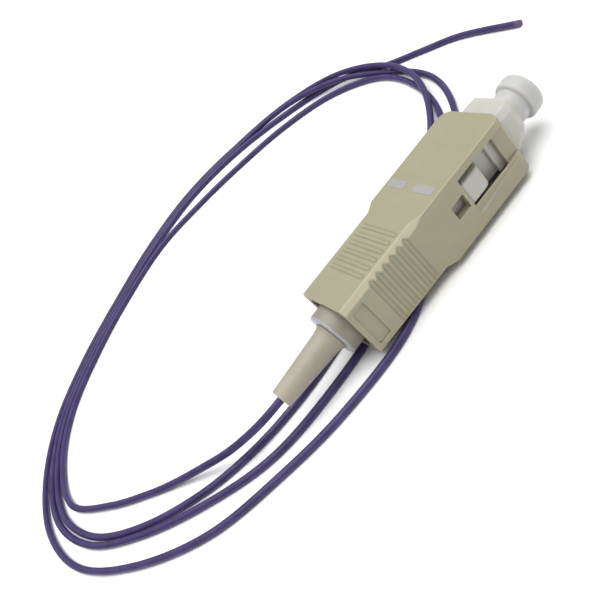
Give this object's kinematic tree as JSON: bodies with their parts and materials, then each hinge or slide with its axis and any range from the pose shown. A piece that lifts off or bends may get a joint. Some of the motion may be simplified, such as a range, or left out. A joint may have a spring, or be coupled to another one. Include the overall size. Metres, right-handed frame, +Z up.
{
  "type": "fibre optic pigtail",
  "caption": "Square push-pull fibre connector with dust cap and strain relief boot, on loose turns of thin buffered fibre that end bare.",
  "frame": {"origin": "bottom centre of the connector's own box, without the fibre, on the surface that the key and the fibre lie on", "axes": "+X along the connector towards the ferrule, +Z up, the polarising key underneath"},
  "size_m": [0.092, 0.0741, 0.0084],
  "materials": {
    "housing": "beige moulded plastic, fine satin",
    "frame": "white, slightly translucent moulded plastic",
    "ferrule": "polished white zirconia",
    "flange": "turned stainless steel",
    "collar": "off-white moulded plastic",
    "boot": "warm beige soft moulded plastic",
    "cap": "frosted translucent plastic",
    "fibre": "violet extruded buffer, satin"
  },
  "bodies": {
    "plug": {"plug_frame": "frame", "rear_collar": "collar", "strain_relief_boot": "boot", "buffered_fibre": "fibre"},
    "housing": {"outer_housing": "housing"},
    "ferrule_unit": {"ferrule": "ferrule", "ferrule_flange": "flange"},
    "cap": {"dust_cap": "cap"}
  },
  "joints": [
    {"name": "housing_slide", "type": "slide", "parent": "plug", "child": "housing", "axis": [1, 0, 0], "range_m": [-0.002, 0]},
    {"name": "ferrule_float", "type": "slide", "parent": "plug", "child": "ferrule_unit", "axis": [1, 0, 0], "range_m": [-0.001, 0], "stiffness_N_per_m": 5000},
    {"name": "cap_pull", "type": "slide", "parent": "plug", "child": "cap", "axis": [1, 0, 0], "range_m": [0, 0.008]}
  ]
}
